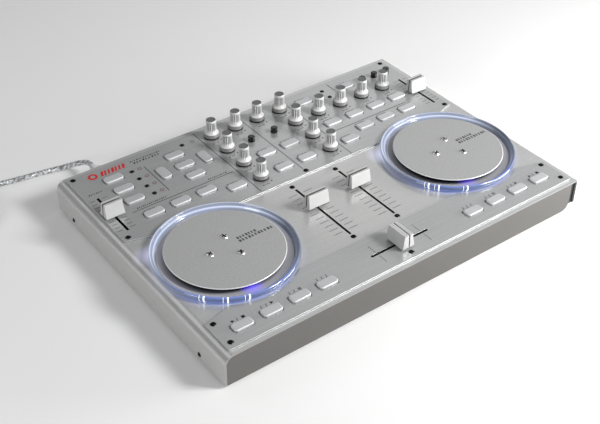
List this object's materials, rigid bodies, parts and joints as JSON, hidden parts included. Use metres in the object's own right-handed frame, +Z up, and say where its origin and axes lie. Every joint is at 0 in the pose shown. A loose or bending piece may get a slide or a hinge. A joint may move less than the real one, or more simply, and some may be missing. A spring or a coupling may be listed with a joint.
{
  "type": "dj controller",
  "caption": "Flat silver DJ controller with jog wheels in lit rings, channel, tempo and cross faders, rotary knobs and translucent keys, and a coiled USB cable.",
  "frame": {"origin": "on the surface that the feet stand on, below the middle of the case (the cable isn't counted)", "axes": "+X to the right along the case's width, +Y to the back, +Z up"},
  "size_m": [0.5076, 0.3432, 0.052],
  "materials": {
    "cover_aluminium": "satin brushed",
    "plate_aluminium": "satin anodised",
    "painted_steel": "fine textured dark grey paint",
    "black_plastic": "satin",
    "platter_silver": "fine metallic paint",
    "clear_ring": "clear, lit blue from inside",
    "dish_grey": "satin",
    "steel": "polished",
    "knob_white": "satin",
    "cap_white": "satin",
    "key_plastic": "translucent satin",
    "board_green": "solder mask",
    "cable_clear": "clear jacket over braid",
    "rubber": "matt"
  },
  "bodies": {
    "root": {"top_cover": "cover_aluminium", "base_tray": "painted_steel", "right_side_rail": "black_plastic", "rear_plate": "plate_aluminium", "front_plate": "plate_aluminium", "circuit_board": "board_green", "left_jog_ring": "clear_ring", "right_jog_ring": "clear_ring", "left_jog_bearing": "dish_grey", "right_jog_bearing": "dish_grey", "front_left_foot": "rubber", "front_right_foot": "rubber", "rear_left_foot": "rubber", "rear_right_foot": "rubber", "usb_socket": "steel", "usb_b_plug": "cable_clear", "usb_cable": "cable_clear", "usb_cable_coil": "cable_clear", "usb_a_plug": "cable_clear"},
    "left_jog": {"left_jog_platter": "platter_silver", "left_jog_spindle": "steel"},
    "right_jog": {"right_jog_platter": "platter_silver", "right_jog_spindle": "steel"},
    "cue_level_knob": {"cue_level_knob": "knob_white"},
    "master_level_knob": {"master_level_knob": "knob_white"},
    "left_gain_knob": {"left_gain_knob": "knob_white"},
    "left_high_knob": {"left_high_knob": "knob_white"},
    "left_mid_knob": {"left_mid_knob": "knob_white"},
    "left_low_knob": {"left_low_knob": "knob_white"},
    "right_gain_knob": {"right_gain_knob": "knob_white"},
    "right_high_knob": {"right_high_knob": "knob_white"},
    "right_mid_knob": {"right_mid_knob": "knob_white"},
    "right_low_knob": {"right_low_knob": "knob_white"},
    "effect_knob_1": {"effect_knob_1": "knob_white"},
    "effect_knob_2": {"effect_knob_2": "knob_white"},
    "effect_knob_3": {"effect_knob_3": "knob_white"},
    "effect_knob_4": {"effect_knob_4": "knob_white"},
    "left_balance_trim": {"left_balance_trim": "black_plastic"},
    "right_balance_trim": {"right_balance_trim": "black_plastic"},
    "mic_trim": {"mic_trim": "black_plastic"},
    "phones_trim": {"phones_trim": "black_plastic"},
    "line_trim": {"line_trim": "black_plastic"},
    "left_channel_fader": {"left_channel_fader": "cap_white"},
    "right_channel_fader": {"right_channel_fader": "cap_white"},
    "left_tempo_fader": {"left_tempo_fader": "cap_white"},
    "right_tempo_fader": {"right_tempo_fader": "cap_white"},
    "crossfader": {"crossfader": "cap_white"},
    "left_transport_key_1": {"left_transport_key_1": "key_plastic"},
    "left_transport_key_2": {"left_transport_key_2": "key_plastic"},
    "left_transport_key_3": {"left_transport_key_3": "key_plastic"},
    "left_transport_key_4": {"left_transport_key_4": "key_plastic"},
    "right_transport_key_1": {"right_transport_key_1": "key_plastic"},
    "right_transport_key_2": {"right_transport_key_2": "key_plastic"},
    "right_transport_key_3": {"right_transport_key_3": "key_plastic"},
    "right_transport_key_4": {"right_transport_key_4": "key_plastic"},
    "left_deck_keys": {"left_deck_keys": "key_plastic"},
    "navigation_keys": {"navigation_keys": "key_plastic"},
    "mixer_keys": {"mixer_keys": "key_plastic"},
    "right_effect_keys": {"right_effect_keys": "key_plastic"},
    "right_loop_keys": {"right_loop_keys": "key_plastic"}
  },
  "joints": [
    {"name": "left_jog_spin", "type": "hinge", "parent": "root", "child": "left_jog", "pos_m": [-0.1223, -0.0351, 0.0377], "axis": [0, 0, 1], "continuous": true},
    {"name": "right_jog_spin", "type": "hinge", "parent": "root", "child": "right_jog", "pos_m": [0.1223, -0.0351, 0.0377], "axis": [0, 0, 1], "continuous": true},
    {"name": "cue_level_knob_turn", "type": "hinge", "parent": "root", "child": "cue_level_knob", "pos_m": [-0.0125, 0.1135, 0.052], "axis": [0, 0, -1], "range_deg": [-140, 140]},
    {"name": "master_level_knob_turn", "type": "hinge", "parent": "root", "child": "master_level_knob", "pos_m": [0.0125, 0.1135, 0.052], "axis": [0, 0, -1], "range_deg": [-140, 140]},
    {"name": "left_gain_knob_turn", "type": "hinge", "parent": "root", "child": "left_gain_knob", "pos_m": [-0.039, 0.1138, 0.052], "axis": [0, 0, -1], "range_deg": [-140, 140]},
    {"name": "left_high_knob_turn", "type": "hinge", "parent": "root", "child": "left_high_knob", "pos_m": [-0.039, 0.0872, 0.052], "axis": [0, 0, -1], "range_deg": [-140, 140]},
    {"name": "left_mid_knob_turn", "type": "hinge", "parent": "root", "child": "left_mid_knob", "pos_m": [-0.039, 0.0602, 0.052], "axis": [0, 0, -1], "range_deg": [-140, 140]},
    {"name": "left_low_knob_turn", "type": "hinge", "parent": "root", "child": "left_low_knob", "pos_m": [-0.039, 0.0332, 0.052], "axis": [0, 0, -1], "range_deg": [-140, 140]},
    {"name": "right_gain_knob_turn", "type": "hinge", "parent": "root", "child": "right_gain_knob", "pos_m": [0.039, 0.1138, 0.052], "axis": [0, 0, -1], "range_deg": [-140, 140]},
    {"name": "right_high_knob_turn", "type": "hinge", "parent": "root", "child": "right_high_knob", "pos_m": [0.039, 0.0872, 0.052], "axis": [0, 0, -1], "range_deg": [-140, 140]},
    {"name": "right_mid_knob_turn", "type": "hinge", "parent": "root", "child": "right_mid_knob", "pos_m": [0.039, 0.0602, 0.052], "axis": [0, 0, -1], "range_deg": [-140, 140]},
    {"name": "right_low_knob_turn", "type": "hinge", "parent": "root", "child": "right_low_knob", "pos_m": [0.039, 0.0332, 0.052], "axis": [0, 0, -1], "range_deg": [-140, 140]},
    {"name": "effect_knob_1_turn", "type": "hinge", "parent": "root", "child": "effect_knob_1", "pos_m": [0.0676, 0.0885, 0.052], "axis": [0, 0, -1], "range_deg": [-140, 140]},
    {"name": "effect_knob_2_turn", "type": "hinge", "parent": "root", "child": "effect_knob_2", "pos_m": [0.0943, 0.0885, 0.052], "axis": [0, 0, -1], "range_deg": [-140, 140]},
    {"name": "effect_knob_3_turn", "type": "hinge", "parent": "root", "child": "effect_knob_3", "pos_m": [0.121, 0.0885, 0.052], "axis": [0, 0, -1], "range_deg": [-140, 140]},
    {"name": "effect_knob_4_turn", "type": "hinge", "parent": "root", "child": "effect_knob_4", "pos_m": [0.1477, 0.0885, 0.052], "axis": [0, 0, -1], "range_deg": [-140, 140]},
    {"name": "left_balance_trim_turn", "type": "hinge", "parent": "root", "child": "left_balance_trim", "pos_m": [-0.013, 0.086, 0.0384], "axis": [0, 0, -1], "range_deg": [-140, 140]},
    {"name": "right_balance_trim_turn", "type": "hinge", "parent": "root", "child": "right_balance_trim", "pos_m": [0.013, 0.086, 0.0384], "axis": [0, 0, -1], "range_deg": [-140, 140]},
    {"name": "mic_trim_turn", "type": "hinge", "parent": "root", "child": "mic_trim", "pos_m": [0.139, 0.1095, 0.0384], "axis": [0, 0, -1], "range_deg": [-140, 140]},
    {"name": "phones_trim_turn", "type": "hinge", "parent": "root", "child": "phones_trim", "pos_m": [0.1546, 0.1095, 0.0384], "axis": [0, 0, -1], "range_deg": [-140, 140]},
    {"name": "line_trim_turn", "type": "hinge", "parent": "root", "child": "line_trim", "pos_m": [0.1702, 0.1095, 0.0384], "axis": [0, 0, -1], "range_deg": [-140, 140]},
    {"name": "left_channel_fader_slide", "type": "slide", "parent": "root", "child": "left_channel_fader", "axis": [0, 1, 0], "range_m": [-0.0407, 0.0232]},
    {"name": "right_channel_fader_slide", "type": "slide", "parent": "root", "child": "right_channel_fader", "axis": [0, 1, 0], "range_m": [-0.043, 0.0209]},
    {"name": "left_tempo_fader_slide", "type": "slide", "parent": "root", "child": "left_tempo_fader", "axis": [0, 1, 0], "range_m": [-0.0232, 0.0248]},
    {"name": "right_tempo_fader_slide", "type": "slide", "parent": "root", "child": "right_tempo_fader", "axis": [0, 1, 0], "range_m": [-0.0257, 0.0223]},
    {"name": "crossfader_slide", "type": "slide", "parent": "root", "child": "crossfader", "axis": [1, 0, 0], "range_m": [-0.0241, 0.0239]},
    {"name": "left_transport_key_1_press", "type": "slide", "parent": "root", "child": "left_transport_key_1", "axis": [0, 0, -1], "range_m": [0, 0.001], "stiffness_N_per_m": 300, "springref_m": -0.001},
    {"name": "left_transport_key_2_press", "type": "slide", "parent": "root", "child": "left_transport_key_2", "axis": [0, 0, -1], "range_m": [0, 0.001], "stiffness_N_per_m": 300, "springref_m": -0.001},
    {"name": "left_transport_key_3_press", "type": "slide", "parent": "root", "child": "left_transport_key_3", "axis": [0, 0, -1], "range_m": [0, 0.001], "stiffness_N_per_m": 300, "springref_m": -0.001},
    {"name": "left_transport_key_4_press", "type": "slide", "parent": "root", "child": "left_transport_key_4", "axis": [0, 0, -1], "range_m": [0, 0.001], "stiffness_N_per_m": 300, "springref_m": -0.001},
    {"name": "right_transport_key_1_press", "type": "slide", "parent": "root", "child": "right_transport_key_1", "axis": [0, 0, -1], "range_m": [0, 0.001], "stiffness_N_per_m": 300, "springref_m": -0.001},
    {"name": "right_transport_key_2_press", "type": "slide", "parent": "root", "child": "right_transport_key_2", "axis": [0, 0, -1], "range_m": [0, 0.001], "stiffness_N_per_m": 300, "springref_m": -0.001},
    {"name": "right_transport_key_3_press", "type": "slide", "parent": "root", "child": "right_transport_key_3", "axis": [0, 0, -1], "range_m": [0, 0.001], "stiffness_N_per_m": 300, "springref_m": -0.001},
    {"name": "right_transport_key_4_press", "type": "slide", "parent": "root", "child": "right_transport_key_4", "axis": [0, 0, -1], "range_m": [0, 0.001], "stiffness_N_per_m": 300, "springref_m": -0.001},
    {"name": "left_deck_keys_press", "type": "slide", "parent": "root", "child": "left_deck_keys", "axis": [0, 0, -1], "range_m": [0, 0.001], "stiffness_N_per_m": 600, "springref_m": -0.001},
    {"name": "navigation_keys_press", "type": "slide", "parent": "root", "child": "navigation_keys", "axis": [0, 0, -1], "range_m": [0, 0.001], "stiffness_N_per_m": 600, "springref_m": -0.001},
    {"name": "mixer_keys_press", "type": "slide", "parent": "root", "child": "mixer_keys", "axis": [0, 0, -1], "range_m": [0, 0.001], "stiffness_N_per_m": 600, "springref_m": -0.001},
    {"name": "right_effect_keys_press", "type": "slide", "parent": "root", "child": "right_effect_keys", "axis": [0, 0, -1], "range_m": [0, 0.001], "stiffness_N_per_m": 600, "springref_m": -0.001},
    {"name": "right_loop_keys_press", "type": "slide", "parent": "root", "child": "right_loop_keys", "axis": [0, 0, -1], "range_m": [0, 0.001], "stiffness_N_per_m": 600, "springref_m": -0.001}
  ]
}
